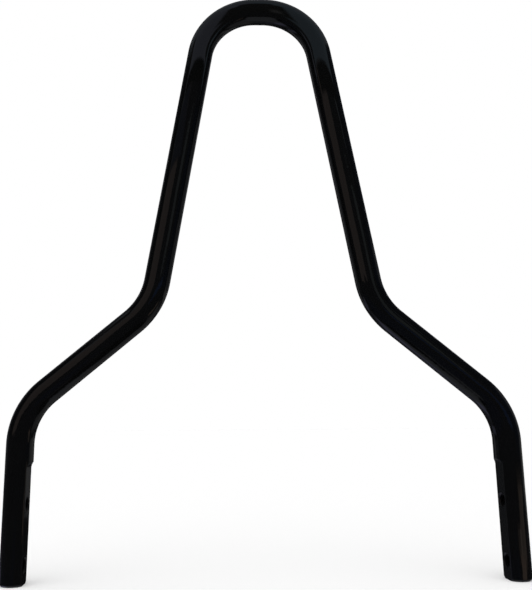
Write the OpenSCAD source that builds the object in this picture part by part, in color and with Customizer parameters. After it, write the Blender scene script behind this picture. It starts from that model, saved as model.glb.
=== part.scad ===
// Sissy bar for a custom motorcycle. It is one length of solid round steel bar, bent in a
// single plane: a rounded crown, two long uprights, two flared shoulders and two feet.
// Each foot has a flat milled on its inner face and two blind tapped holes in the flat, so
// the bar straddles the rear mudguard and takes its bolts from the inside.
//
// X runs across the motorcycle, Y fore and aft, and Z up. The origin lies midway between
// the two cut ends. The bar's axis lies in the plane Y = 0, and the left half mirrors the
// right one.

/* [Bar stock] */
// Diameter of the round bar
bar_d = 15.875; // [12:0.125:20]
// Diameter that the bar loses where it is drawn round a bend
bend_draw = 0.1; // [0.04:0.02:0.6]
// Bevel round the rim of each cut end
end_bevel = 1.2; // [0.2:0.1:3]

/* [Crown and uprights] */
// Length of the level run between the two crown bends
crown_run = 5.4; // [3:0.2:120]
// Radius of the crown bends, on the bar's axis
crown_r = 36.5; // [22:0.5:80]
// Drop from the crown's axis to the corner at the waist
upright_rise = 197; // [120:1:450]
// Lean of each upright away from the vertical, in degrees
upright_lean = 9.7; // [0:0.1:14]

/* [Shoulders] */
// Drop from the corner at the waist to the corner at the hip
shoulder_rise = 63; // [50:0.5:120]
// Radius of the waist bends, on the bar's axis
waist_r = 42; // [25:0.5:60]
// Radius of the hip bends, on the bar's axis
hip_r = 39.5; // [25:0.5:50]

/* [Feet] */
// Distance between the two feet, axis to axis
foot_span = 285; // [230:1:360]
// Drop from the corner at the hip to the cut end
foot_rise = 95.5; // [92:0.5:180]

/* [Milled flats] */
// Length of each flat, from the cut end to the start of its shoulder
flat_l = 63.5; // [52:0.5:67]
// Depth of each flat below the bar's round surface
flat_depth = 2.2; // [1.5:0.1:4]
// Radius of the cutter, which rounds the shoulder
cutter_r = 4; // [2:0.5:6]

/* [Tapped holes] */
// Height of the lower hole above the cut end
hole_rise = 10.5; // [8:0.5:14]
// Distance between the two holes in a foot
hole_pitch = 33.3; // [20:0.1:40]
// Diameter of each hole, across the crests of its thread
hole_d = 6.5; // [4:0.1:8]
// Depth of each hole's full diameter below the flat
hole_depth = 9; // [5:0.5:9]
// Bevel round the mouth of each hole
mouth_bevel = 0.8; // [0.2:0.1:1.5]
// Angle of the drill's point, which ends each hole
drill_point = 118; // [90:1:140]

/* [Hidden] */
$fn = 96;

bar_r = bar_d / 2;
bend_d = bar_d - bend_draw;
hole_r = hole_d / 2;
overshoot = 1;
// Length by which each end of a bend runs on inside the run that it joins
lap = 0.5;

hip_z = foot_rise;
waist_z = hip_z + shoulder_rise;
crown_z = waist_z + upright_rise;
crown_x = crown_run / 2 + crown_r * tan((90 - upright_lean) / 2);
waist_x = crown_x + upright_rise * tan(upright_lean);
foot_x = foot_span / 2;

// Corners of the right half's axis as [x, z], from the middle of the crown to the cut end
CORNERS = [
    [0, crown_z],
    [crown_x, crown_z],
    [waist_x, waist_z],
    [foot_x, hip_z],
    [foot_x, 0],
];
BEND_R = [0, crown_r, waist_r, hip_r, 0];
LAST = len(CORNERS) - 1;

// Plane of the flat on the right foot
flat_x = foot_x - bar_r + flat_depth;

function unit(angle) = [cos(angle), sin(angle)];

// Heading of the straight run that leaves corner i, in degrees
function heading(i) =
    let (run = CORNERS[i + 1] - CORNERS[i])
    atan2(run[1], run[0]);

// Angle through which the bar turns at corner i, positive to the left
function turn(i) = i == 0 || i == LAST ? 0 : heading(i) - heading(i - 1);

// Length that the bend at corner i takes from each of its two runs
function trim(i) = BEND_R[i] * tan(abs(turn(i)) / 2);

// Length of the straight run that leaves corner i, less what its two bends take
function run_length(i) = norm(CORNERS[i + 1] - CORNERS[i]) - trim(i) - trim(i + 1);

// Stands a shape drawn on the XY plane up on the XZ plane.
module upright() {
    rotate([90, 0, 0]) children();
}

// The straight run that leaves corner i.
module straight_run(i) {
    start = CORNERS[i] + trim(i) * unit(heading(i));
    translate([start[0], start[1], 0])
        rotate([0, 90, heading(i)])
            cylinder(d = bar_d, h = run_length(i));
}

// The bend at corner i, swept about its own centre, with a lap at each end.
module bend(i) {
    side = sign(turn(i));
    start = CORNERS[i] - trim(i) * unit(heading(i - 1));
    centre = start + side * BEND_R[i] * unit(heading(i - 1) + 90);
    first = side > 0 ? heading(i - 1) - 90 : heading(i) + 90;
    lap_angle = lap / BEND_R[i] * 180 / PI;
    translate([centre[0], centre[1], 0])
        rotate([0, 0, first - lap_angle])
            rotate_extrude(angle = abs(turn(i)) + 2 * lap_angle)
                translate([BEND_R[i], 0])
                    circle(d = bend_d);
}

// The straight foot before it is machined, with a bevelled rim at its cut end.
module round_foot() {
    length = run_length(LAST - 1);
    translate([foot_x, 0, 0])
        rotate_extrude()
            polygon([
                [0, 0],
                [bar_r - end_bevel, 0],
                [bar_r, end_bevel],
                [bar_r, length],
                [0, length],
            ]);
}

// What the cutter takes off the foot's inner face: a flat that ends in a rounded shoulder.
module flat_cut() {
    reach = max(cutter_r, flat_depth) + overshoot;
    upright()
        linear_extrude(height = bar_d + 2 * overshoot, center = true) {
            translate([flat_x - reach, -overshoot])
                square([reach, flat_l + overshoot]);
            translate([flat_x - reach, -overshoot])
                square([reach - cutter_r, flat_l + cutter_r + overshoot]);
            translate([flat_x - cutter_r, flat_l])
                circle(r = cutter_r);
        }
}

// A blind hole along +X, with a bevelled mouth and the cone that the drill leaves.
module hole_cut() {
    point = hole_r / tan(drill_point / 2);
    rotate([0, 90, 0])
        rotate_extrude()
            polygon([
                [0, -overshoot],
                [hole_r + mouth_bevel + overshoot, -overshoot],
                [hole_r, mouth_bevel],
                [hole_r, hole_depth],
                [0, hole_depth + point],
            ]);
}

// The foot with its flat and its two tapped holes.
module foot() {
    difference() {
        round_foot();
        flat_cut();
        for (n = [0, 1])
            translate([flat_x, 0, hole_rise + n * hole_pitch])
                hole_cut();
    }
}

module right_half() {
    upright() {
        for (i = [0 : LAST - 2])
            straight_run(i);
        for (i = [1 : LAST - 1])
            bend(i);
    }
    foot();
}

module bar() {
    color([0.035, 0.035, 0.04]) {
        right_half();
        mirror([1, 0, 0]) right_half();
    }
}

bar();
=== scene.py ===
"""Sissy bar: one solid round bar, bent in a plane and coated gloss black, on a white floor.

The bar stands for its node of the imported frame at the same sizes. Each foot has a milled flat on
its inner face, and two blind holes with real threads in the flat.
"""

import logging
import math
from collections.abc import Callable
from dataclasses import dataclass, field
from enum import Enum
from functools import cache
from math import radians

import bpy
from mathutils import Matrix, Vector


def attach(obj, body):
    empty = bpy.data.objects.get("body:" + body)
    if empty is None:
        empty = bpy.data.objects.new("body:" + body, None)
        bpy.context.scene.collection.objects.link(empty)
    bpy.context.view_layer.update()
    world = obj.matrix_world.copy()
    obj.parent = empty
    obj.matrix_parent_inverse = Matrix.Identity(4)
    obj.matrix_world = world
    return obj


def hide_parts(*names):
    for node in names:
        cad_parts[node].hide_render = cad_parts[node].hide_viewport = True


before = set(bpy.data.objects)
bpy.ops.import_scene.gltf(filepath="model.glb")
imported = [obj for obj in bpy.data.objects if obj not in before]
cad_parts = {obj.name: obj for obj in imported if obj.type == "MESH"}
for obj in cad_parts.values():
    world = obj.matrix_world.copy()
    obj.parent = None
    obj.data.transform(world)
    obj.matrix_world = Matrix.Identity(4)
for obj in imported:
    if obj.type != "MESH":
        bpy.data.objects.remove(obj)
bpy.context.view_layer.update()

MM = 0.001
# Metres within which two vertices are at one place, and within which they are level
SAME = 1e-7
LEVEL = 1e-6
BODY = "root"
BAR_NODE = "bar"
log = logging.getLogger("sissy_bar")

Triple = tuple[float, float, float]
Values = dict[str, float | Triple]
Piece = bpy.types.Object
Material = bpy.types.Material
Node = bpy.types.Node
Tree = bpy.types.NodeTree
Socket = bpy.types.NodeSocket


class Slot(Enum):
    """The record's material slots."""

    COAT = "black_coat"
    STEEL = "tapped_steel"


class Side(Enum):
    """The two sides of the motorcycle, with the sign of X on each."""

    RIGHT = 1
    LEFT = -1


@dataclass(frozen=True)
class ProfilePoint:
    """A point on the outline of a turned shape.

    Args:
        radius: Distance from the shape's axis, in mm.
        along: Distance along the axis, in mm.
        fillet: Radius that rounds the corner here, in mm.
    """

    radius: float
    along: float
    fillet: float = 0.0


def rounded(points: list[ProfilePoint], steps: int = 5) -> list[ProfilePoint]:
    """Rounds the corners of a turned shape's outline.

    Args:
        points: The corners in order.
        steps: Segments in each rounded corner.

    Returns:
        The outline with each corner that has a fillet replaced by an arc.
    """
    outline: list[ProfilePoint] = []
    for index, point in enumerate(points):
        if point.fillet == 0 or index in (0, len(points) - 1):
            outline.append(point)
            continue
        corner = Vector((point.radius, point.along))
        before = Vector((points[index - 1].radius, points[index - 1].along)) - corner
        after = Vector((points[index + 1].radius, points[index + 1].along)) - corner
        before.normalize()
        after.normalize()
        half = before.angle(after) / 2
        reach = point.fillet / math.tan(half)
        centre = corner + (before + after).normalized() * point.fillet / math.sin(half)
        start = corner + before * reach - centre
        end = corner + after * reach - centre
        sweep = start.angle_signed(end)
        for step in range(steps + 1):
            # angle_signed is positive clockwise, and so is a negative turn of a 2D vector
            spoke = Matrix.Rotation(-sweep * step / steps, 2) @ start
            place = centre + spoke
            outline.append(ProfilePoint(place.x, place.y))
    return outline


class Bench:
    """Short names for the operators that every piece is made with."""

    # Above 50, wide faces weigh more than narrow ones in the normals
    WIDE_WEIGHT = 60

    @staticmethod
    def clear() -> None:
        """Leaves nothing selected."""
        if bpy.context.object is not None and bpy.context.object.mode != "OBJECT":
            bpy.ops.object.mode_set(mode="OBJECT")
        bpy.ops.object.select_all(action="DESELECT")

    @staticmethod
    def take(piece: Piece) -> None:
        """Makes one piece the only selected and active one."""
        Bench.clear()
        piece.select_set(True)
        bpy.context.view_layer.objects.active = piece

    @staticmethod
    def edit() -> None:
        """Opens the active piece in edit mode."""
        bpy.ops.object.mode_set(mode="EDIT")

    @staticmethod
    def edit_all() -> None:
        """Opens the active piece in edit mode, with all of it selected."""
        Bench.edit()
        bpy.ops.mesh.select_all(action="SELECT")

    @staticmethod
    def close() -> None:
        """Leaves edit mode."""
        bpy.ops.object.mode_set(mode="OBJECT")

    @staticmethod
    def settle(piece: Piece) -> None:
        """Puts a piece's place into its mesh, so its object sits unturned at the origin."""
        Bench.take(piece)
        bpy.ops.object.transform_apply(location=True, rotation=True, scale=True)

    @staticmethod
    def apply(piece: Piece) -> None:
        """Applies every modifier of a piece, in order."""
        Bench.take(piece)
        for modifier in list(piece.modifiers):
            bpy.ops.object.modifier_apply(modifier=modifier.name)

    @staticmethod
    def ring(radius: float, vertices: int, place: Vector, turn: Triple) -> Piece:
        """Adds an open circle, with its place in its mesh.

        Args:
            radius: Radius in metres.
            vertices: Number of vertices.
            place: Centre.
            turn: Euler angles in radians.

        Returns:
            The new object.
        """
        Bench.clear()
        bpy.ops.mesh.primitive_circle_add(
            vertices=vertices, radius=radius, fill_type="NOTHING", location=place, rotation=turn
        )
        piece = bpy.context.active_object
        Bench.settle(piece)
        return piece

    @staticmethod
    def plane(size: float, place: Triple | Vector, turn: Triple) -> Piece:
        """Adds a square plane, with its place in its mesh."""
        Bench.clear()
        bpy.ops.mesh.primitive_plane_add(size=size, location=place, rotation=turn)
        piece = bpy.context.active_object
        Bench.settle(piece)
        return piece

    @staticmethod
    def select_verts(piece: Piece, wanted: Callable[[Vector], bool]) -> int:
        """Selects a piece's vertices by place, in edit mode before and after.

        Args:
            piece: The piece in edit mode.
            wanted: A function of a vertex's place that says whether it is taken.

        Returns:
            How many vertices are selected.
        """
        bpy.ops.mesh.select_mode(type="VERT")
        bpy.ops.mesh.select_all(action="DESELECT")
        Bench.close()
        count = 0
        for vertex in piece.data.vertices:
            vertex.select = bool(wanted(vertex.co))
            count += vertex.select
        Bench.edit()
        return count

    @staticmethod
    def extrude(x: float, y: float, z: float) -> None:
        """Extrudes what is selected, by metres."""
        bpy.ops.mesh.extrude_region_move(TRANSFORM_OT_translate={"value": (x, y, z)})

    @staticmethod
    def stretch(scale: Triple, centre: Triple) -> None:
        """Scales what is selected about a point."""
        bpy.ops.transform.resize(value=scale, center_override=centre)

    @staticmethod
    def cut(piece: Piece, cutter: Piece) -> None:
        """Takes the cutter's shape out of a piece and deletes the cutter."""
        modifier = piece.modifiers.new("cut", "BOOLEAN")
        modifier.operation = "DIFFERENCE"
        modifier.solver = "EXACT"
        modifier.object = cutter
        Bench.apply(piece)
        bpy.data.objects.remove(cutter, do_unlink=True)

    @staticmethod
    def tidy(piece: Piece) -> None:
        """Merges a piece's doubles and turns its faces outwards."""
        Bench.take(piece)
        Bench.edit_all()
        bpy.ops.mesh.remove_doubles(threshold=SAME)
        bpy.ops.mesh.normals_make_consistent(inside=False)
        bpy.ops.mesh.select_all(action="DESELECT")
        Bench.close()

    @staticmethod
    def smooth(piece: Piece, angle: float) -> None:
        """Shades a piece smooth below an edge angle, with wide faces holding their normals."""
        Bench.take(piece)
        bpy.ops.object.shade_smooth_by_angle(angle=angle)
        modifier = piece.modifiers.new("weights", "WEIGHTED_NORMAL")
        modifier.keep_sharp = True
        modifier.weight = Bench.WIDE_WEIGHT
        Bench.apply(piece)


class Nodes:
    """Adds and joins shader nodes in one tree."""

    def __init__(self, tree: Tree) -> None:
        """Empties the tree that the nodes go into."""
        self.tree = tree
        tree.nodes.clear()

    def add(
        self, kind: str, label: str = "", inputs: dict | None = None, **settings: object
    ) -> Node:
        """Adds a node.

        Args:
            kind: The node's type.
            label: What it is for.
            inputs: A value or an output socket for each named or numbered input.
            settings: Attributes to set first.

        Returns:
            The node.
        """
        node = self.tree.nodes.new(kind)
        node.label = label
        for name, value in settings.items():
            setattr(node, name, value)
        for name, value in (inputs or {}).items():
            if isinstance(value, Socket):
                self.tree.links.new(value, node.inputs[name])
            else:
                node.inputs[name].default_value = value
        return node

    def maths(
        self,
        operation: str,
        first: float | Socket,
        second: float | Socket = 0.0,
        clamp: bool = False,
    ) -> Socket:
        """Adds a Math node on one or two values or sockets, and returns its output."""
        inputs = {0: first, 1: second}
        node = self.add("ShaderNodeMath", "", inputs, operation=operation, use_clamp=clamp)
        return node.outputs[0]

    def place(self) -> Socket:
        """Adds the Object coordinates, and returns their socket."""
        return self.add("ShaderNodeTexCoord").outputs["Object"]

    def effect(
        self, group: Tree, place: Socket, **values: float | Triple
    ) -> Node:
        """Puts a shared effect into the tree.

        Args:
            group: The effect.
            place: The socket with the place, in most uses Object coordinates.
            values: The effect's own numbers and vectors, by input name.

        Returns:
            The group's node.
        """
        return self.add("ShaderNodeGroup", group.name, {"Place": place, **values}, node_tree=group)

    def lay_over(self, label: str, mask: Socket, under: Socket | Triple, colour: Triple) -> Socket:
        """Lays a colour over another by a mask.

        Args:
            label: What it is for.
            mask: Where the upper colour shows.
            under: The colour behind, a socket or a plain colour.
            colour: The upper colour.

        Returns:
            The socket with the new colour.
        """
        behind = under if isinstance(under, Socket) else (*under, 1.0)
        inputs = {0: mask, 6: behind, 7: (*colour, 1.0)}
        return self.add("ShaderNodeMix", label, inputs, data_type="RGBA").outputs[2]

    def show(self, shader: Node, kind: str = "ShaderNodeOutputMaterial") -> None:
        """Ends the tree with a shader's output."""
        self.add(kind, inputs={0: shader.outputs[0]})


def new_material(name: str) -> tuple[Material, Nodes]:
    """Makes a material, and returns it with its nodes."""
    material = bpy.data.materials.new(name)
    material.use_nodes = True
    return material, Nodes(material.node_tree)


class EffectGroups:
    """The shader node groups that the finishes share, each built once."""

    # Mask of the mottle where it counts as low and as high
    MOTTLE_LOW, MOTTLE_HIGH = 0.3, 0.7
    # Scale of the long swell, as a share of the close ripple's
    SWELL_SCALE = 0.16
    # Least distance ahead of a card's middle, so that nothing behind it shows
    LEAST_AHEAD = 1e-4

    @staticmethod
    def _open(
        name: str, inputs: Values, outputs: dict[str, str]
    ) -> tuple[Tree, Nodes, Node, Node]:
        """Makes an empty group with a place, more inputs and the given outputs.

        Args:
            name: Name of the group.
            inputs: Default of each input, a number or a vector.
            outputs: Socket type of each output.

        Returns:
            The group, its nodes, its input node and its output node.
        """
        group = bpy.data.node_groups.new(name, "ShaderNodeTree")
        group.interface.new_socket("Place", in_out="INPUT", socket_type="NodeSocketVector")
        for label, default in inputs.items():
            kind = "NodeSocketVector" if isinstance(default, tuple) else "NodeSocketFloat"
            socket = group.interface.new_socket(label, in_out="INPUT", socket_type=kind)
            socket.default_value = default
        for label, kind in outputs.items():
            group.interface.new_socket(label, in_out="OUTPUT", socket_type=kind)
        nodes = Nodes(group)
        return group, nodes, nodes.add("NodeGroupInput"), nodes.add("NodeGroupOutput")

    @staticmethod
    def _noise(nodes: Nodes, label: str, place: Socket, scale: Socket, detail: float) -> Socket:
        """Adds a noise pattern, and returns its value."""
        inputs = {"Vector": place, "Scale": scale, "Detail": detail}
        return nodes.add("ShaderNodeTexNoise", label, inputs).outputs[0]

    @classmethod
    @cache
    def mottle(cls) -> Tree:
        """Two sizes of soft unevenness, as a mask round one half.

        Returns:
            The group. Coarse and Fine are the patterns' sizes in repeats a metre, and Blend is
            the fine one's share.
        """
        group, nodes, given, out = cls._open(
            "mottle", {"Coarse": 90.0, "Fine": 700.0, "Blend": 0.5}, {"Mask": "NodeSocketFloat"}
        )
        place = given.outputs["Place"]
        coarse = cls._noise(nodes, "broad unevenness", place, given.outputs["Coarse"], 1.0)
        fine = cls._noise(nodes, "close unevenness", place, given.outputs["Fine"], 2.0)
        blend = nodes.add("ShaderNodeMix", "both", {0: given.outputs["Blend"], 2: coarse, 3: fine})
        nodes.tree.links.new(blend.outputs[0], out.inputs["Mask"])
        return group

    @classmethod
    @cache
    def ripple(cls) -> Tree:
        """The shallow ripple that a sprayed coat or a turned surface keeps, as a normal.

        Returns:
            The group. Scale is in repeats a metre, and Height and Swell are the depths of the
            close and the long ripple in metres.
        """
        inputs = {"Scale": 600.0, "Height": 2e-6, "Swell": 1e-5}
        group, nodes, given, out = cls._open("ripple", inputs, {"Normal": "NodeSocketVector"})
        place, scale = given.outputs["Place"], given.outputs["Scale"]
        close = cls._noise(nodes, "orange peel", place, scale, 1.0)
        long_scale = nodes.maths("MULTIPLY", scale, cls.SWELL_SCALE)
        swell = cls._noise(nodes, "long swell", place, long_scale, 0.0)
        height = nodes.maths(
            "ADD",
            nodes.maths("MULTIPLY", close, given.outputs["Height"]),
            nodes.maths("MULTIPLY", swell, given.outputs["Swell"]),
        )
        inputs = {"Strength": 1.0, "Distance": 1.0, "Height": height}
        bump = nodes.add("ShaderNodeBump", "ripple", inputs)
        nodes.tree.links.new(bump.outputs[0], out.inputs["Normal"])
        return group

    @classmethod
    @cache
    def card(cls) -> Tree:
        """The shape of a flat card with soft edges, seen from its room's middle, as a mask.

        Returns:
            The group. Facing points at the card's middle, Across and Upward along its sides, and
            Wide, High and Soft are half its width, half its height and its edge's width, all for
            a card at distance 1.
        """
        group, nodes, given, out = cls._open(
            "card",
            {
                "Facing": (0.0, 1.0, 0.0), "Across": (1.0, 0.0, 0.0), "Upward": (0.0, 0.0, 1.0),
                "Wide": 0.5, "High": 0.5, "Soft": 0.05,
            },
            {"Mask": "NodeSocketFloat"},
        )

        def along(axis: str) -> Socket:
            """Measures the place along one of the card's axes."""
            inputs = {0: given.outputs["Place"], 1: given.outputs[axis]}
            node = nodes.add("ShaderNodeVectorMath", axis, inputs, operation="DOT_PRODUCT")
            return node.outputs["Value"]

        ahead = nodes.maths("MAXIMUM", along("Facing"), cls.LEAST_AHEAD)
        masks = []
        for axis, half in (("Across", "Wide"), ("Upward", "High")):
            offset = nodes.maths("ABSOLUTE", nodes.maths("DIVIDE", along(axis), ahead))
            inside = nodes.maths("SUBTRACT", given.outputs[half], offset)
            edge = nodes.add(
                "ShaderNodeMapRange", "soft edge",
                {0: nodes.maths("DIVIDE", inside, given.outputs["Soft"]), 1: -0.5, 2: 0.5},
                interpolation_type="SMOOTHSTEP",
            )
            masks.append(edge.outputs[0])
        nodes.tree.links.new(nodes.maths("MULTIPLY", *masks), out.inputs["Mask"])
        return group


@dataclass(frozen=True)
class Finish:
    """A finish whose colour and roughness vary with a mottle, over a ripple.

    Args:
        name: The material's name.
        dark: Colour where the mottle is low.
        light: Colour where the mottle is high.
        rough_low: Roughness where the mottle is low.
        rough_high: Roughness where the mottle is high.
        mottle: Repeats a metre of its coarse and its fine part, and the fine part's share.
        ripple: Its repeats a metre, and the depths in metres of the close and the long ripple.
        constant: Name and value of the shader's own constant.
    """

    name: str
    dark: Triple
    light: Triple
    rough_low: float
    rough_high: float
    mottle: Triple
    ripple: Triple
    constant: tuple[str, float]

    def make(self) -> Material:
        """Builds the material.

        Returns:
            The material.
        """
        material, nodes = new_material(self.name)
        place = nodes.place()
        values = dict(zip(("Coarse", "Fine", "Blend"), self.mottle))
        mask = nodes.effect(EffectGroups.mottle(), place, **values).outputs["Mask"]
        values = dict(zip(("Scale", "Height", "Swell"), self.ripple))
        normal = nodes.effect(EffectGroups.ripple(), place, **values).outputs["Normal"]
        colour = nodes.lay_over("colour", mask, self.dark, self.light)
        low, high = EffectGroups.MOTTLE_LOW, EffectGroups.MOTTLE_HIGH
        inputs = {0: mask, 1: low, 2: high, 3: self.rough_low, 4: self.rough_high}
        rough = nodes.add("ShaderNodeMapRange", "roughness", inputs).outputs[0]
        name, value = self.constant
        inputs = {"Base Color": colour, "Roughness": rough, "Normal": normal, name: value}
        nodes.show(nodes.add("ShaderNodeBsdfPrincipled", self.name, inputs))
        return material


@dataclass(frozen=True)
class BlackCoat(Finish):
    """Gloss black coat over smooth steel."""

    name: str = "gloss_black_coat"
    dark: Triple = (0.0012, 0.0012, 0.0013)
    light: Triple = (0.0021, 0.0021, 0.0022)
    rough_low: float = 0.04
    rough_high: float = 0.08
    mottle: Triple = (70.0, 900.0, 0.35)
    ripple: Triple = (380.0, 4.5e-5, 3.5e-4)
    constant: tuple[str, float] = ("IOR", 1.5)


@dataclass(frozen=True)
class TappedSteel(Finish):
    """Bare machined steel inside the tapped holes, darkened for oil and as painted shade of the
    deep holes.
    """

    name: str = "oil_and_shade_darkened_steel"
    # Dark tones stand partly for oil and partly for painted shade inside the holes
    dark: Triple = (0.035, 0.033, 0.030)
    light: Triple = (0.16, 0.155, 0.15)
    rough_low: float = 0.28
    rough_high: float = 0.5
    mottle: Triple = (350.0, 2600.0, 0.4)
    ripple: Triple = (3500.0, 3e-6, 4e-6)
    constant: tuple[str, float] = ("Metallic", 1.0)


@dataclass
class TappedHole:
    """A blind hole with a right-hand thread, bored along +Z from its mouth at the origin.

    Its metal is a cup that stands in a plain bore of the bar, so each hole is a closed piece.
    """

    crest_r: float = 3.25
    root_r: float = 3.97
    pitch: float = 1.411
    mouth_bevel: float = 0.8
    depth: float = 9.0
    thread_end: float = 7.6
    drill_point: float = 118.0
    wall: float = 0.3
    flank: float = 30.0
    run_out: float = 60.0
    ridge_root: float = 0.12
    rim_inner: float = 0.12
    rim_outer: float = 0.32
    back_edge: float = 0.1
    back_tip: float = 0.8
    clearance: float = 0.01
    lip: float = 0.28
    lip_round: float = 0.3
    lip_top: float = 0.0001
    bore_reach: float = 1.0
    bore_flare: float = 1.2
    bore_floor: float = 0.25
    sink_reach: float = 3.0
    sink_tip: float = 0.5
    smooth_angle: float = 28.0
    steps: int = 64

    @property
    def mouth_r(self) -> float:
        """Radius of the mouth at the flat."""
        return self.crest_r + self.mouth_bevel

    @property
    def bottom(self) -> float:
        """Depth of the drill's point."""
        return self.depth + self.crest_r / math.tan(radians(self.drill_point / 2))

    def _turned(self, outline: list[ProfilePoint]) -> Piece:
        """Sweeps an outline that starts and ends on the axis into a closed solid.

        Args:
            outline: The outline, whose first and last points have radius 0.

        Returns:
            The solid.
        """
        first = outline[1]
        start = Vector((0, 0, first.along * MM))
        piece = Bench.ring(first.radius * MM, self.steps, start, (0, 0, 0))
        Bench.edit_all()
        if first.along != outline[0].along:
            bpy.ops.mesh.duplicate()
        radius, along = first.radius, first.along
        for point in outline[2:-1]:
            Bench.extrude(0, 0, (point.along - along) * MM)
            scale = point.radius / radius
            Bench.stretch((scale, scale, 1), (0, 0, point.along * MM))
            radius, along = point.radius, point.along
        self._close_end(piece, radius, along, outline[-1].along)
        self._close_end(piece, first.radius, first.along, outline[0].along)
        Bench.close()
        Bench.tidy(piece)
        return piece

    @staticmethod
    def _at(place: Vector, radius: float, along: float) -> bool:
        """Says whether a vertex is at a radius and a depth that are given in mm."""
        offset = math.hypot(place.x, place.y) - radius * MM
        return abs(place.z - along * MM) < SAME and abs(offset) < SAME

    def _close_end(self, piece: Piece, radius: float, along: float, tip: float) -> None:
        """Closes an open ring of a turned solid at a tip on its axis."""
        Bench.select_verts(piece, lambda co: self._at(co, radius, along))
        bpy.ops.mesh.edge_face_add()
        if tip != along:
            bpy.ops.mesh.poke()
            Bench.select_verts(piece, lambda co: self._at(co, 0, along))
            bpy.ops.transform.translate(value=(0, 0, (tip - along) * MM))

    def bore(self) -> Piece:
        """Makes the cutter of the bar's plain bore, with a soft lip in the coat at its mouth."""
        radius = self.mouth_r + self.clearance
        outline = rounded([
            ProfilePoint(0, -self.bore_reach),
            ProfilePoint(radius + self.lip + self.bore_flare, -self.bore_reach),
            ProfilePoint(radius + self.lip, -self.lip_top),
            ProfilePoint(radius, self.lip, self.lip_round),
            ProfilePoint(radius, self.bottom + self.bore_floor),
            ProfilePoint(0, self.bottom + self.bore_floor),
        ])
        return self._turned(outline)

    def _cup(self) -> Piece:
        """Makes the hole's metal without its thread."""
        outer = self.mouth_r + self.wall
        run_out = (self.root_r - self.crest_r) / math.tan(radians(self.run_out))
        outline = rounded([
            ProfilePoint(0, self.bottom),
            ProfilePoint(self.crest_r, self.depth),
            ProfilePoint(self.crest_r, self.thread_end + run_out),
            ProfilePoint(self.root_r, self.thread_end),
            ProfilePoint(self.root_r, self.mouth_r - self.root_r),
            ProfilePoint(self.mouth_r, self.rim_inner),
            ProfilePoint(outer, self.rim_outer),
            ProfilePoint(outer, self.bottom + self.back_edge),
            ProfilePoint(0, self.bottom + self.back_tip),
        ])
        return self._turned(outline)

    def _ridge(self) -> Piece:
        """Makes the thread's ridge, whose foot is inside the cup's wall."""
        tip_half = self.pitch / 8
        base_r = self.root_r + self.ridge_root
        base_half = tip_half + (base_r - self.crest_r) * math.tan(radians(self.flank))
        middle, half = (self.crest_r + base_r) / 2, (base_r - self.crest_r) / 2
        piece = Bench.plane(2 * half * MM, (middle * MM, 0, 0), (radians(90), 0, 0))
        Bench.edit()
        for radius, wide in ((self.crest_r, tip_half), (base_r, base_half)):
            Bench.select_verts(piece, lambda co: abs(co.x - radius * MM) < LEVEL)
            Bench.stretch((1, 1, wide / half), (radius * MM, 0, 0))
        bpy.ops.mesh.select_all(action="SELECT")
        bpy.ops.transform.translate(value=(0, 0, -self.pitch * MM))
        bpy.ops.mesh.delete(type="ONLY_FACE")
        Bench.close()
        turns = int((self.thread_end + 2 * self.pitch) / self.pitch)
        screw = piece.modifiers.new("thread", "SCREW")
        screw.steps = self.steps
        screw.render_steps = self.steps
        screw.iterations = turns
        screw.screw_offset = self.pitch * MM
        screw.use_normal_calculate = True
        Bench.apply(piece)
        Bench.edit_all()
        bpy.ops.mesh.fill_holes(sides=4)
        Bench.close()
        Bench.tidy(piece)
        return piece

    def _countersink(self) -> Piece:
        """Makes the cone that bevels the thread's first turn."""
        outline = [
            ProfilePoint(0, -self.sink_reach),
            ProfilePoint(self.mouth_r + self.sink_reach, -self.sink_reach),
            ProfilePoint(self.sink_tip, self.mouth_r - self.sink_tip),
            ProfilePoint(0, self.mouth_r),
        ]
        return self._turned(outline)

    @staticmethod
    def copies(master: Piece, bar: "BentBar") -> list[Piece]:
        """Turns copies of a piece made at the origin into the four holes, and deletes the piece.

        Args:
            master: The piece, with its mouth at the origin and its depth along +Z.
            bar: The bar, which says where the mouths are.

        Returns:
            The right lower, right upper, left lower and left upper copies.
        """
        pieces = []
        for side in Side:
            for mouth in bar.hole_mouths(side):
                piece = master.copy()
                piece.data = master.data.copy()
                bpy.context.collection.objects.link(piece)
                piece.rotation_euler = (0, radians(90 * side.value), 0)
                piece.location = mouth
                Bench.settle(piece)
                pieces.append(piece)
        bpy.data.objects.remove(master, do_unlink=True)
        return pieces

    def build(self) -> Piece:
        """Makes the hole's metal with its thread.

        Returns:
            The piece, with its mouth at the origin.
        """
        ridge = self._ridge()
        Bench.cut(ridge, self._countersink())
        cup = self._cup()
        Bench.take(cup)
        ridge.select_set(True)
        bpy.ops.object.join()
        Bench.smooth(cup, radians(self.smooth_angle))
        return cup


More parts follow.
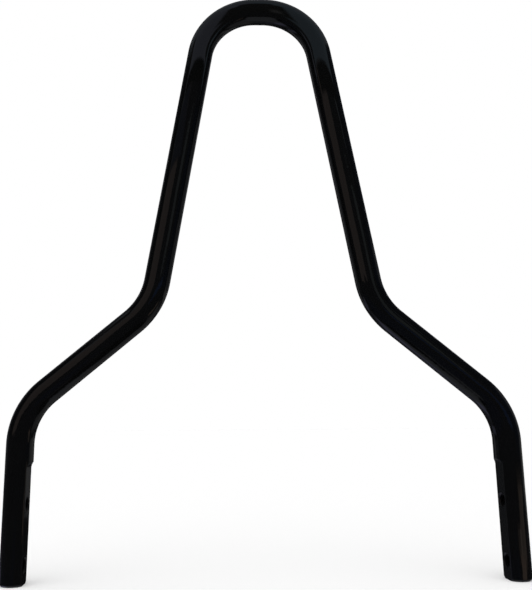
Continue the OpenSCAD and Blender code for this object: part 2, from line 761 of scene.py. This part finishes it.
@dataclass
class BentBar:
    """The bar: crown, uprights, shoulders and feet, from the same named sizes as the solid."""

    diameter: float = 15.875
    end_bevel: float = 1.2
    crown_run: float = 5.4
    crown_r: float = 36.5
    upright_rise: float = 197.0
    upright_lean: float = 9.7
    shoulder_rise: float = 63.0
    waist_r: float = 42.0
    hip_r: float = 39.5
    foot_span: float = 285.0
    foot_rise: float = 95.5
    flat_l: float = 63.5
    flat_depth: float = 2.2
    cutter_r: float = 4.0
    hole_rise: float = 10.5
    hole_pitch: float = 33.3
    edge_break: float = 0.25
    edge_reach: float = 0.42
    edge_inner: float = 1.5
    edge_low: float = 0.05
    edge_passes: int = 3
    end_round: tuple[float, float] = (0.6, 0.5)
    end_inset: float = 0.5
    ring_above: float = 0.5
    ring_shares: tuple[float, ...] = (0.75, 0.5, 0.25)
    ring_lowest: float = 0.12
    smooth_angle: float = 30.0
    section: int = 144
    bend_step: float = 2.0
    shoulder_rings: int = 22
    hole: TappedHole = field(default_factory=TappedHole)

    @property
    def bar_r(self) -> float:
        """Radius of the bar."""
        return self.diameter / 2

    @property
    def foot_x(self) -> float:
        """X of the right foot's axis."""
        return self.foot_span / 2

    @property
    def flat_x(self) -> float:
        """X of the right foot's flat."""
        return self.foot_x - self.bar_r + self.flat_depth

    @property
    def corners(self) -> list[Vector]:
        """Corners of the right half's axis in XZ, from the crown's middle to the cut end."""
        hip_z = self.foot_rise
        waist_z = hip_z + self.shoulder_rise
        crown_z = waist_z + self.upright_rise
        bend = radians(90 - self.upright_lean)
        crown_x = self.crown_run / 2 + self.crown_r * math.tan(bend / 2)
        waist_x = crown_x + self.upright_rise * math.tan(radians(self.upright_lean))
        return [
            Vector((0, crown_z)),
            Vector((crown_x, crown_z)),
            Vector((waist_x, waist_z)),
            Vector((self.foot_x, hip_z)),
            Vector((self.foot_x, 0)),
        ]

    @property
    def bend_radii(self) -> list[float]:
        """Radius of the bend at each corner."""
        return [0, self.crown_r, self.waist_r, self.hip_r, 0]

    def milled_x(self, height: float) -> float | None:
        """X of the milled surface of the right foot at a height.

        Args:
            height: Height above the cut end, in mm.

        Returns:
            The X, or None above the milled part.
        """
        if height < self.edge_break:
            rise = self.edge_break - height
            return self.flat_x + self.edge_break - math.sqrt(self.edge_break**2 - rise**2)
        if height <= self.flat_l:
            return self.flat_x
        climb = height - self.flat_l
        if climb >= self.cutter_r:
            return None
        plane = self.flat_x - self.cutter_r + math.sqrt(self.cutter_r**2 - climb**2)
        return plane if plane > self.foot_x - self.bar_r else None

    def _turn(self, index: int) -> float:
        """Angle through which the bar turns at a corner, in radians, positive to the left."""
        corners = self.corners
        before = corners[index] - corners[index - 1]
        after = corners[index + 1] - corners[index]
        return math.atan2(after.y, after.x) - math.atan2(before.y, before.x)

    def _trim(self, index: int) -> float:
        """Length that the bend at a corner takes from each run beside it."""
        if index in (0, len(self.corners) - 1):
            return 0.0
        return self.bend_radii[index] * math.tan(abs(self._turn(index)) / 2)

    def _sweep(self) -> Piece:
        """Draws the right half from the crown's middle down to the hip, as an open tube.

        Returns:
            The tube, with its last ring selected and edit mode open.
        """
        corners = self.corners
        start = Vector((0, 0, corners[0].y * MM))
        tube = Bench.ring(self.bar_r * MM, self.section, start, (0, radians(90), 0))
        Bench.edit_all()
        for index in range(len(corners) - 2):
            run = corners[index + 1] - corners[index]
            heading = run.normalized()
            length = run.length - self._trim(index) - self._trim(index + 1)
            Bench.extrude(heading.x * length * MM, 0, heading.y * length * MM)
            turn = self._turn(index + 1)
            side = math.copysign(1, turn)
            begin = corners[index + 1] - self._trim(index + 1) * heading
            centre = begin + side * self.bend_radii[index + 1] * Vector((-heading.y, heading.x))
            bpy.ops.mesh.spin(
                steps=math.ceil(abs(math.degrees(turn)) / self.bend_step),
                angle=turn,
                center=(centre.x * MM, 0, centre.y * MM),
                axis=(0, 1, 0),
            )
        return tube

    def _foot_outline(self) -> list[ProfilePoint]:
        """The foot's turned outline from the hip's end down to the cut end."""
        top = self.corners[-2].y - self._trim(len(self.corners) - 2)
        reach = math.acos(1 - self.flat_depth / self.cutter_r)
        outline = [ProfilePoint(self.bar_r, top)]
        for ring in range(self.shoulder_rings, -1, -1):
            climb = self.cutter_r * math.sin(reach * ring / self.shoulder_rings)
            outline.append(ProfilePoint(self.bar_r, self.flat_l + climb))
        outline.insert(1, ProfilePoint(self.bar_r, outline[1].along + self.ring_above))
        for share in self.ring_shares:
            outline.append(ProfilePoint(self.bar_r, self.flat_l * share))
        end = [
            ProfilePoint(self.bar_r, self.flat_l * self.ring_lowest),
            ProfilePoint(self.bar_r, self.end_bevel, self.end_round[0]),
            ProfilePoint(self.bar_r - self.end_bevel, 0, self.end_round[1]),
            ProfilePoint(0, 0),
        ]
        return outline + rounded(end)[:-1]

    def _stand(self) -> None:
        """Runs the open tube down the right foot to its cut end and closes it."""
        outline = self._foot_outline()
        centre_x = self.foot_x * MM
        for above, below in zip(outline, outline[1:]):
            Bench.extrude(0, 0, (below.along - above.along) * MM)
            scale = below.radius / above.radius
            if scale != 1:
                Bench.stretch((scale, scale, 1), (centre_x, 0, below.along * MM))
        bpy.ops.mesh.edge_face_add()
        bpy.ops.mesh.inset(thickness=self.end_inset * MM)

    def _mill(self, tube: Piece) -> None:
        """Presses the foot's inner side back to the milled surface, ring by ring."""
        Bench.take(tube)
        Bench.edit()
        for height in {point.along for point in self._foot_outline()}:
            plane = self.milled_x(height)
            if plane is None:
                continue
            found = Bench.select_verts(
                tube, lambda co: abs(co.z - height * MM) < LEVEL and co.x < plane * MM
            )
            if found:
                Bench.stretch((0, 1, 1), (plane * MM, 0, 0))
        self._break_edges(tube)
        Bench.close()

    def _break_edges(self, tube: Piece) -> None:
        """Rounds the edge between the milled surface and the round one."""
        reach = self.edge_reach * MM
        centre_x = self.foot_x * MM

        def on_edge(co: Vector) -> bool:
            """Says whether a vertex lies by the edge."""
            plane = self.milled_x(co.z / MM) if co.z > self.edge_low * MM else None
            if plane is None or co.x > (plane + self.edge_inner) * MM:
                return False
            offset = math.hypot(co.x - centre_x, co.y)
            return abs(co.x - plane * MM) < reach and self.bar_r * MM - offset < reach

        for _ in range(self.edge_passes):
            Bench.select_verts(tube, on_edge)
            bpy.ops.mesh.vertices_smooth(factor=0.5, repeat=1, xaxis=True, yaxis=True, zaxis=False)

    def hole_mouths(self, side: Side) -> list[Vector]:
        """Centres of the two hole mouths of a foot, in metres."""
        across = side.value * self.flat_x * MM
        heights = (self.hole_rise, self.hole_rise + self.hole_pitch)
        return [Vector((across, 0, height * MM)) for height in heights]

    def _bore(self, bar: Piece) -> None:
        """Bores the two holes of each foot."""
        cutters = self.hole.copies(self.hole.bore(), self)
        Bench.take(cutters[0])
        for cutter in cutters:
            cutter.select_set(True)
        bpy.ops.object.join()
        Bench.cut(bar, cutters[0])

    def build(self) -> Piece:
        """Makes the whole bar.

        Returns:
            The piece.
        """
        tube = self._sweep()
        self._stand()
        Bench.close()
        self._mill(tube)
        mirror = tube.modifiers.new("left half", "MIRROR")
        mirror.use_axis = (True, False, False)
        mirror.merge_threshold = LEVEL
        Bench.apply(tube)
        Bench.tidy(tube)
        self._bore(tube)
        Bench.smooth(tube, radians(self.smooth_angle))
        tube.name = "bent_bar"
        return tube


@dataclass
class SissyBar:
    """The coated bar and the bare threads in its feet."""

    bar: BentBar = field(default_factory=BentBar)
    coat: BlackCoat = BlackCoat()
    steel: TappedSteel = TappedSteel()

    def _holes(self) -> list[Piece]:
        """Copies one tapped hole's metal into each of the four bores."""
        pieces = self.bar.hole.copies(self.bar.hole.build(), self.bar)
        levels = ("lower", "upper")
        names = [f"thread_{side.name.lower()}_{level}" for side in Side for level in levels]
        for piece, name in zip(pieces, names):
            piece.name = name
        return pieces

    def build(self) -> list[Piece]:
        """Builds and dresses every piece.

        Returns:
            The pieces.
        """
        bar = self.bar.build()
        bar.data.materials.clear()
        bar.data.materials.append(self.coat.make())
        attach(bar, BODY)
        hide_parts(BAR_NODE)
        threads = self._holes()
        steel = self.steel.make()
        for thread in threads:
            thread.data.materials.clear()
            thread.data.materials.append(steel)
            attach(thread, BODY)
        return [bar, *threads]


def card_values(axes: tuple[Vector, ...], wide: float, high: float, soft: float) -> Values:
    """Gives the values of the card group, which measures at distance 1."""
    across, upward, facing = map(tuple, axes)
    values = {"Facing": facing, "Across": across, "Upward": upward}
    return values | {"Wide": wide, "High": high, "Soft": soft}


@dataclass(frozen=True)
class WallCard:
    """A pale, brown or black glowing patch of the room, seen only in the gloss, that paints a
    reflection on the bar.

    Args:
        name: What it is.
        azimuth: Degrees round from +Y, behind the bar, towards +X.
        elevation: Degrees up from level.
        half_width: Half its width, in degrees.
        half_height: Half its height, in degrees.
        soft: Width of its edge, for a card at distance 1.
        colour: How bright it glows.
    """

    name: str
    azimuth: float
    elevation: float
    half_width: float
    half_height: float
    soft: float
    colour: Triple

    def values(self) -> Values:
        """Gives the card's values for the card group."""
        turn, tilt = radians(self.azimuth), radians(self.elevation)
        level = math.cos(tilt)
        facing = Vector((math.sin(turn) * level, math.cos(turn) * level, math.sin(tilt)))
        across = Vector((math.cos(turn), -math.sin(turn), 0))
        wide, high = radians(self.half_width), radians(self.half_height)
        axes = across, across.cross(facing), facing
        return card_values(axes, math.tan(wide), math.tan(high), self.soft)


@dataclass(frozen=True)
class CardPatch:
    """A pale or dark patch of a near card, with sizes in mm.

    Args:
        name: What it is.
        x: Middle, across from the card's middle.
        z: Middle, up from the card's middle.
        width: Whole width.
        height: Whole height.
        soft: Width of its edge.
        colour: How bright it glows.
    """

    name: str
    x: float
    z: float
    width: float
    height: float
    soft: float
    colour: Triple


@dataclass(frozen=True)
class NearCard:
    """A glowing card, seen only in the gloss, that hangs close to the bar and is clear outside its
    patches.

    Args:
        name: Name of its piece.
        middle: Middle, in mm.
        azimuth: Degrees round from +Y, towards +X, to which it faces.
        size: Width and height, in mm.
        patches: What is on it, each laid over the ones before.
    """

    name: str
    middle: Triple
    azimuth: float
    size: float
    patches: tuple[CardPatch, ...]

    @property
    def axes(self) -> tuple[Vector, Vector, Vector]:
        """The directions across the card, up it, and out of its face."""
        turn = radians(self.azimuth)
        across = Vector((math.cos(turn), -math.sin(turn), 0))
        facing = Vector((math.sin(turn), math.cos(turn), 0))
        return across, Vector((0, 0, 1)), facing

    def values(self, patch: CardPatch) -> Values:
        """Gives a patch's values for the card group."""
        return card_values(self.axes, patch.width / 2 * MM, patch.height / 2 * MM, patch.soft * MM)

    def viewpoint(self, patch: CardPatch) -> Vector:
        """Gives the point from which a patch lies straight ahead at distance 1."""
        across, upward, facing = self.axes
        return (Vector(self.middle) + patch.x * across + patch.z * upward) * MM - facing


# Glowing patches of the room, seen only in the gloss: painted reflections of pale, brown and black
# walls, windows and boards on the bar
ROOM_CARDS = (
    WallCard("overhead", 0, 89, 40, 40, 0.29, (0.09, 0.095, 0.1)),
    WallCard("front ceiling", 180, 78, 55, 35, 0.08, (0.17, 0.19, 0.215)),
    WallCard("bench", 10, -89, 36, 34, 0.25, (0.22, 0.23, 0.25)),
    WallCard("grey low right", 52, -40, 34, 16, 0.25, (0.16, 0.16, 0.165)),
    WallCard("lavender low left", -32, -44, 28, 11, 0.21, (0.12, 0.125, 0.165)),
    WallCard("lavender patch low left", -48, -50, 15, 7, 0.1, (0.34, 0.34, 0.5)),
    WallCard("grey right", 72, 6, 15, 16, 0.17, (0.1, 0.105, 0.115)),
    WallCard("pale right", 38, 8, 7, 24, 0.1, (0.2, 0.2, 0.21)),
    WallCard("grey left", -60, 6, 21, 13, 0.17, (0.09, 0.095, 0.105)),
    WallCard("lavender left", -58, -22, 16, 5, 0.08, (0.22, 0.225, 0.32)),
    WallCard("pale left", -38, 8, 8, 24, 0.1, (0.2, 0.2, 0.21)),
    WallCard("dark right", 106, 10, 17, 16, 0.12, (0.018, 0.026, 0.045)),
    WallCard("dark high right", 85, 34, 34, 11, 0.1, (0.018, 0.022, 0.03)),
    WallCard("pale window", 152, 16, 9, 8, 0.05, (0.15, 0.17, 0.175)),
    WallCard("blue streak", 150, 1, 22, 3.5, 0.05, (0.05, 0.085, 0.19)),
    WallCard("pale low right", 50, -9, 26, 4.5, 0.05, (0.2, 0.2, 0.2)),
    WallCard("pale low behind", 8, -9.5, 12, 4, 0.03, (0.078, 0.078, 0.08)),
    WallCard("dark low behind", 8, -18, 10, 4.5, 0.03, (0.01, 0.01, 0.011)),
    WallCard("black left", -86, 22, 17, 22, 0.12, (0.01, 0.011, 0.013)),
    WallCard("dark shelf left", -116, 46, 13, 6, 0.07, (0.03, 0.022, 0.02)),
    WallCard("brown board", -137, 19, 26, 18, 0.12, (0.22, 0.182, 0.168)),
    WallCard("black line under the board", -120, 1, 50, 3, 0.05, (0.022, 0.022, 0.026)),
    WallCard("brown gap in the line", -125, 2, 13, 3, 0.04, (0.23, 0.19, 0.17)),
    WallCard("black low right", 116, -53, 21, 10, 0.12, (0.012, 0.012, 0.012)),
    WallCard("slate low left", -140, -38, 44, 18, 0.21, (0.03, 0.036, 0.056)),
    WallCard("black low left", -112, -59, 12, 8, 0.12, (0.01, 0.01, 0.016)),
)

NEAR_CARDS = (
    # Painted reflections on the crown: pale sheets for its bends, dark patches for its middle and
    # underside, and a painted glint
    NearCard("crown_card", (0, -20, 350), 0, 224, (
        CardPatch("pale sheet left", -35, 10, 78, 72, 6, (0.23, 0.247, 0.305)),
        CardPatch("pale sheet right", 38, 10, 84, 74, 6, (0.195, 0.25, 0.3)),
        CardPatch("black under left", -46, -34, 56, 15, 5, (0.014, 0.018, 0.014)),
        CardPatch("black under right", 46, -38, 60, 22, 6, (0.022, 0.024, 0.024)),
        CardPatch("dark window, upright", -2, 2, 25, 42, 4, (0.034, 0.036, 0.036)),
        CardPatch("dark window, level", -2, 4, 39, 26, 5, (0.034, 0.036, 0.034)),
        CardPatch("dark stem", 1, -28, 13, 44, 6, (0.034, 0.036, 0.038)),
        CardPatch("glint", 9.5, -1, 5, 7, 4, (0.17, 0.17, 0.17)),
        CardPatch("dark flag left", -70, -68, 44, 54, 8, (0.056, 0.064, 0.086)),
    )),
    # Painted reflection on the right foot and hip: a brown carton painted with lit and shaded sides
    NearCard("foot_card", (231.2, -80.3, 20), -48, 230, (
        CardPatch("brown carton", 15, -2, 98, 66, 26, (0.26, 0.215, 0.18)),
        CardPatch("carton's flap", -60, -18, 80, 26, 12, (0.15, 0.125, 0.11)),
        CardPatch("shaded side of the carton", 76, -20, 60, 56, 16, (0.03, 0.03, 0.032)),
        CardPatch("lit edge of the flap", -36, -18, 24, 24, 14, (0.4, 0.33, 0.28)),
        CardPatch("lit foot of the carton", -30, -37, 84, 26, 14, (0.4, 0.3, 0.24)),
    )),
)


@dataclass
class Studio:
    """White floor and surround, soft light, the glowing room and cards that paint reflections in
    the gloss, and the camera.
    """

    floor_half: float = 20.0
    room_r: float = 1.2
    room_middle: float = 0.18
    room_steps: int = 96
    room_glow_colour: Triple = (0.033, 0.035, 0.039)
    floor_colour: float = 0.8
    floor_lift: float = 0.2
    sky_light: float = 0.55
    sun_light: float = 0.45
    sun_tilt: float = 25.0
    sun_turn: float = -20.0
    sun_size: float = 70.0
    camera_place: Triple = (-31.60, -408.43, 86.18)
    camera_right: Triple = (0.99971, -0.02353, -0.00568)
    camera_down: Triple = (-0.00111, 0.18953, -0.98187)
    camera_forward: Triple = (0.02418, 0.98159, 0.18945)
    lens: float = 41.71
    sensor: float = 36.0
    clip_start: float = 0.01
    shift_x: float = 0.0645
    shift_y: float = 0.0

    @staticmethod
    def _show_rays(nodes: Nodes) -> Socket:
        """Adds the mask of the rays that see white: camera, glossy and transmission."""
        path = nodes.add("ShaderNodeLightPath")
        seen = nodes.maths("ADD", path.outputs["Is Camera Ray"], path.outputs["Is Glossy Ray"])
        return nodes.maths("ADD", seen, path.outputs["Is Transmission Ray"], clamp=True)

    def _surround(self) -> None:
        """Lights the scene from all round, and shows the surround as white."""
        world = bpy.data.worlds.new("surround")
        world.use_nodes = True
        nodes = Nodes(world.node_tree)
        seen = self._show_rays(nodes)
        inputs = {0: seen, 3: self.sky_light, 4: 1.0}
        strength = nodes.add("ShaderNodeMapRange", "white where seen", inputs).outputs[0]
        inputs = {"Color": (1, 1, 1, 1), "Strength": strength}
        nodes.show(nodes.add("ShaderNodeBackground", "soft light", inputs), "ShaderNodeOutputWorld")
        bpy.context.scene.world = world

    def _lamp(self) -> None:
        """Adds one wide soft lamp overhead."""
        tilt = radians(self.sun_tilt)
        data = bpy.data.lights.new("overhead", "SUN")
        data.energy = self.sun_light * math.pi / math.cos(tilt)
        data.angle = radians(self.sun_size)
        lamp = bpy.data.objects.new("overhead", data)
        lamp.rotation_euler = (tilt, 0, radians(self.sun_turn))
        lamp.visible_glossy = False
        bpy.context.collection.objects.link(lamp)

    def _floor(self) -> None:
        """Lays the pale floor, which keeps the bar's shadow."""
        floor = Bench.plane(2 * self.floor_half, (0, 0, 0), (0, 0, 0))
        floor.name = "floor"
        material, nodes = new_material("white_floor")
        lift = nodes.maths("MULTIPLY", self._show_rays(nodes), self.floor_lift)
        white = (*(self.floor_colour,) * 3, 1.0)
        matt = nodes.add("ShaderNodeBsdfDiffuse", "matt white", {"Color": white})
        glow = nodes.add("ShaderNodeEmission", "white where seen", {"Strength": lift})
        nodes.show(nodes.add("ShaderNodeAddShader", "", {0: matt.outputs[0], 1: glow.outputs[0]}))
        floor.data.materials.append(material)
        floor.visible_glossy = False

    @staticmethod
    def _only_gloss(piece: Piece, material: Material) -> None:
        """Dresses a card or a wall and shows it to nothing but the gloss."""
        piece.data.materials.append(material)
        for ray in ("camera", "diffuse", "transmission", "volume_scatter", "shadow"):
            setattr(piece, f"visible_{ray}", False)

    def _room(self) -> None:
        """Builds the glowing room round the bar, whose painted patches the gloss shows as
        reflections.
        """
        Bench.clear()
        bpy.ops.mesh.primitive_uv_sphere_add(
            segments=self.room_steps, ring_count=self.room_steps // 2,
            radius=self.room_r, location=(0, 0, self.room_middle),
        )
        room = bpy.context.active_object
        room.name = "glowing_reflection_room"
        material, nodes = new_material("glowing_reflection_room")
        place = nodes.place()
        colour = self.room_glow_colour
        for card in ROOM_CARDS:
            mask = nodes.effect(EffectGroups.card(), place, **card.values()).outputs["Mask"]
            colour = nodes.lay_over(card.name, mask, colour, card.colour)
        # The room glows with its painted patches, though it is no lamp, and only the gloss sees it
        nodes.show(nodes.add("ShaderNodeEmission", "glow of the room", {"Color": colour}))
        self._only_gloss(room, material)

    def _hang(self, card: NearCard) -> None:
        """Hangs a small glowing card close to the bar, whose patches paint reflections in the
        gloss.
        """
        turn = (radians(90), 0, -radians(card.azimuth))
        plane = Bench.plane(card.size * MM, Vector(card.middle) * MM, turn)
        plane.name = card.name
        material, nodes = new_material(card.name)
        place = nodes.place()
        colour, bare = (0.0, 0.0, 0.0), 1.0
        for patch in card.patches:
            inputs = {0: place, 1: card.viewpoint(patch)}
            offset = nodes.add("ShaderNodeVectorMath", patch.name, inputs, operation="SUBTRACT")
            shape = nodes.effect(EffectGroups.card(), offset.outputs[0], **card.values(patch))
            mask = shape.outputs["Mask"]
            bare = nodes.maths("MULTIPLY", bare, nodes.maths("SUBTRACT", 1.0, mask))
            colour = nodes.lay_over(patch.name, mask, colour, patch.colour)
        # The card glows with its painted patches, and only the gloss sees it
        glow = nodes.add("ShaderNodeEmission", "card", {"Color": colour})
        clear = nodes.add("ShaderNodeBsdfTransparent", "no card")
        inputs = {0: bare, 1: glow.outputs[0], 2: clear.outputs[0]}
        nodes.show(nodes.add("ShaderNodeMixShader", "card or none", inputs))
        self._only_gloss(plane, material)

    def _camera(self) -> None:
        """Sets the camera where the photograph was taken from."""
        data = bpy.data.cameras.new("camera")
        data.lens = self.lens
        data.sensor_width = self.sensor
        data.sensor_fit = "AUTO"
        data.shift_x = self.shift_x
        data.shift_y = self.shift_y
        data.clip_start = self.clip_start
        camera = bpy.data.objects.new("camera", data)
        right, down, forward = (
            Vector(axis) for axis in (self.camera_right, self.camera_down, self.camera_forward)
        )
        turn = Matrix((right, -down, -forward)).transposed()
        camera.matrix_world = Matrix.Translation(Vector(self.camera_place) * MM) @ turn.to_4x4()
        bpy.context.collection.objects.link(camera)
        bpy.context.scene.camera = camera

    def build(self) -> None:
        """Sets up the camera, the light, the floor, the glowing room and the near glowing cards."""
        bpy.context.scene.view_settings.view_transform = "Standard"
        self._camera()
        self._surround()
        self._lamp()
        self._floor()
        self._room()
        for card in NEAR_CARDS:
            self._hang(card)


def main() -> None:
    """Builds the scene and reports each piece."""
    logging.basicConfig(level=logging.INFO, format="%(name)s: %(message)s")
    Studio().build()
    for piece in SissyBar().build():
        log.info("%s has %d faces", piece.name, len(piece.data.polygons))


if __name__ == "__main__":
    main()
